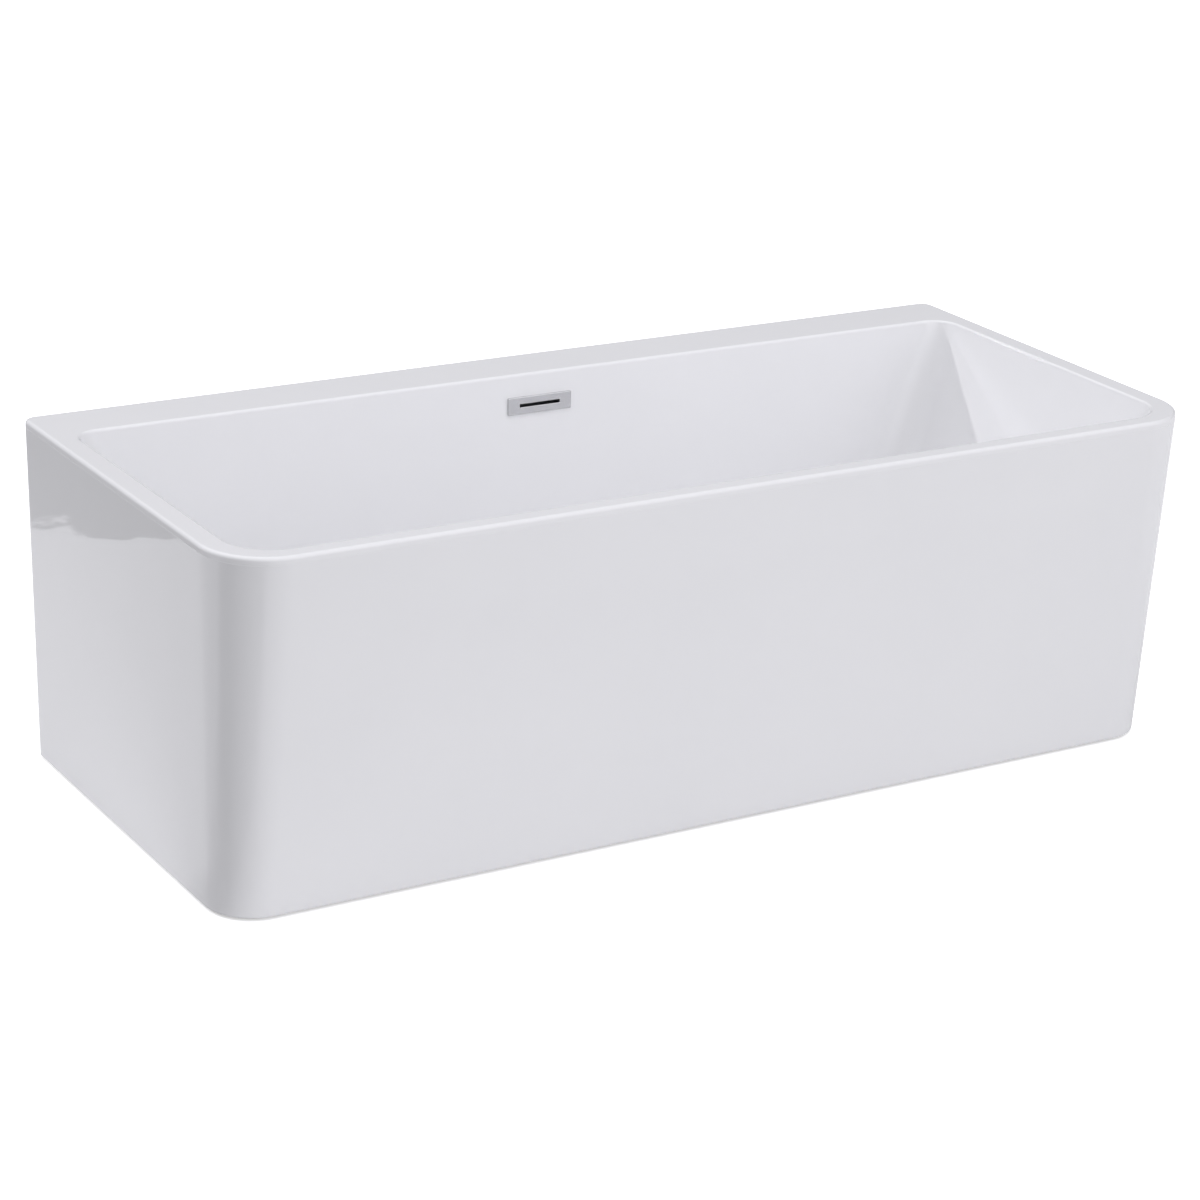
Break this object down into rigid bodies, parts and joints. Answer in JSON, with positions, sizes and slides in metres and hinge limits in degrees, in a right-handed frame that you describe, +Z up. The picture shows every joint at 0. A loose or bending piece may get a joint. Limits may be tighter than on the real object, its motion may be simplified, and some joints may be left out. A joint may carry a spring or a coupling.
{
  "type": "bathtub",
  "caption": "Rectangular back-to-wall acrylic bath: sloped-end basin with wide wall-side deck and smooth skirt, on a steel frame with screw feet, overflow and push plug.",
  "frame": {"origin": "on the floor under the middle of the bath's plan, which is also the axis of the waste", "axes": "+X along the bath, +Y towards the wall, +Z up"},
  "size_m": [1.7, 0.75, 0.56],
  "materials": {
    "white_acrylic": "polished white sanitary acrylic",
    "fibreboard": "moisture-resistant board",
    "galvanised_steel": "galvanised square tube",
    "zinc_fasteners": "zinc plated",
    "timber": "planed softwood",
    "black_plastic": "moulded, satin",
    "chrome": "satin chrome",
    "rubber_seal": "matt",
    "grey_pipe": "moulded grey"
  },
  "bodies": {
    "bath": {"inner_shell": "white_acrylic", "outer_skirt": "white_acrylic", "deck_board": "fibreboard", "base_board": "fibreboard", "front_rail": "galvanised_steel", "back_rail": "galvanised_steel", "left_end_cross_rail": "galvanised_steel", "left_middle_cross_rail": "galvanised_steel", "right_middle_cross_rail": "galvanised_steel", "right_end_cross_rail": "galvanised_steel", "frame_bolts": "zinc_fasteners", "frame_nut_plates": "galvanised_steel", "rail_caps": "black_plastic", "board_screws": "zinc_fasteners", "front_batten": "timber", "left_batten": "timber", "right_batten": "timber", "skirt_brackets": "galvanised_steel", "bracket_screws": "zinc_fasteners", "foot_weld_nuts": "zinc_fasteners", "foot_lock_nuts": "zinc_fasteners", "overflow_cover": "chrome", "overflow_gasket": "rubber_seal", "overflow_chamber": "grey_pipe", "overflow_screws": "zinc_fasteners", "overflow_pipe": "grey_pipe", "overflow_pipe_nuts": "grey_pipe", "waste_flange": "chrome", "waste_flange_seal": "rubber_seal", "waste_floor_seal": "rubber_seal", "waste_body": "grey_pipe", "plug_cartridge": "chrome"},
    "plug": {"plug_cap": "chrome", "plug_seal": "rubber_seal", "plug_stem": "chrome"},
    "front_left_foot_pad": {"front_left_foot_pad": "black_plastic"},
    "front_left_foot_stud": {"front_left_foot_stud": "zinc_fasteners"},
    "front_right_foot_pad": {"front_right_foot_pad": "black_plastic"},
    "front_right_foot_stud": {"front_right_foot_stud": "zinc_fasteners"},
    "back_left_foot_pad": {"back_left_foot_pad": "black_plastic"},
    "back_left_foot_stud": {"back_left_foot_stud": "zinc_fasteners"},
    "back_right_foot_pad": {"back_right_foot_pad": "black_plastic"},
    "back_right_foot_stud": {"back_right_foot_stud": "zinc_fasteners"},
    "middle_left_foot_pad": {"middle_left_foot_pad": "black_plastic"},
    "middle_left_foot_stud": {"middle_left_foot_stud": "zinc_fasteners"},
    "middle_right_foot_pad": {"middle_right_foot_pad": "black_plastic"},
    "middle_right_foot_stud": {"middle_right_foot_stud": "zinc_fasteners"}
  },
  "joints": [
    {"name": "plug_slide", "type": "slide", "parent": "bath", "child": "plug", "axis": [0, 0, 1], "range_m": [0, 0.008]},
    {"name": "front_left_foot_height", "type": "slide", "parent": "bath", "child": "front_left_foot_pad", "axis": [0, 0, 1], "range_m": [-0.015, 0.004]},
    {"name": "front_left_foot_turn", "type": "hinge", "parent": "front_left_foot_pad", "child": "front_left_foot_stud", "pos_m": [-0.64, -0.208, 0.03], "axis": [0, 0, 1], "range_deg": [-3088, 825]},
    {"name": "front_right_foot_height", "type": "slide", "parent": "bath", "child": "front_right_foot_pad", "axis": [0, 0, 1], "range_m": [-0.015, 0.004]},
    {"name": "front_right_foot_turn", "type": "hinge", "parent": "front_right_foot_pad", "child": "front_right_foot_stud", "pos_m": [0.64, -0.208, 0.03], "axis": [0, 0, 1], "range_deg": [-3088, 825]},
    {"name": "back_left_foot_height", "type": "slide", "parent": "bath", "child": "back_left_foot_pad", "axis": [0, 0, 1], "range_m": [-0.015, 0.004]},
    {"name": "back_left_foot_turn", "type": "hinge", "parent": "back_left_foot_pad", "child": "back_left_foot_stud", "pos_m": [-0.64, 0.15, 0.03], "axis": [0, 0, 1], "range_deg": [-3088, 825]},
    {"name": "back_right_foot_height", "type": "slide", "parent": "bath", "child": "back_right_foot_pad", "axis": [0, 0, 1], "range_m": [-0.015, 0.004]},
    {"name": "back_right_foot_turn", "type": "hinge", "parent": "back_right_foot_pad", "child": "back_right_foot_stud", "pos_m": [0.64, 0.15, 0.03], "axis": [0, 0, 1], "range_deg": [-3088, 825]},
    {"name": "middle_left_foot_height", "type": "slide", "parent": "bath", "child": "middle_left_foot_pad", "axis": [0, 0, 1], "range_m": [-0.015, 0.004]},
    {"name": "middle_left_foot_turn", "type": "hinge", "parent": "middle_left_foot_pad", "child": "middle_left_foot_stud", "pos_m": [-0.25, -0.029, 0.03], "axis": [0, 0, 1], "range_deg": [-3088, 825]},
    {"name": "middle_right_foot_height", "type": "slide", "parent": "bath", "child": "middle_right_foot_pad", "axis": [0, 0, 1], "range_m": [-0.015, 0.004]},
    {"name": "middle_right_foot_turn", "type": "hinge", "parent": "middle_right_foot_pad", "child": "middle_right_foot_stud", "pos_m": [0.25, -0.029, 0.03], "axis": [0, 0, 1], "range_deg": [-3088, 825]}
  ],
  "couplings": [
    {"joint": "front_left_foot_turn", "follows": "front_left_foot_height", "rad_per_m": 3590.4},
    {"joint": "front_right_foot_turn", "follows": "front_right_foot_height", "rad_per_m": 3590.4},
    {"joint": "back_left_foot_turn", "follows": "back_left_foot_height", "rad_per_m": 3590.4},
    {"joint": "back_right_foot_turn", "follows": "back_right_foot_height", "rad_per_m": 3590.4},
    {"joint": "middle_left_foot_turn", "follows": "middle_left_foot_height", "rad_per_m": 3590.4},
    {"joint": "middle_right_foot_turn", "follows": "middle_right_foot_height", "rad_per_m": 3590.4}
  ]
}
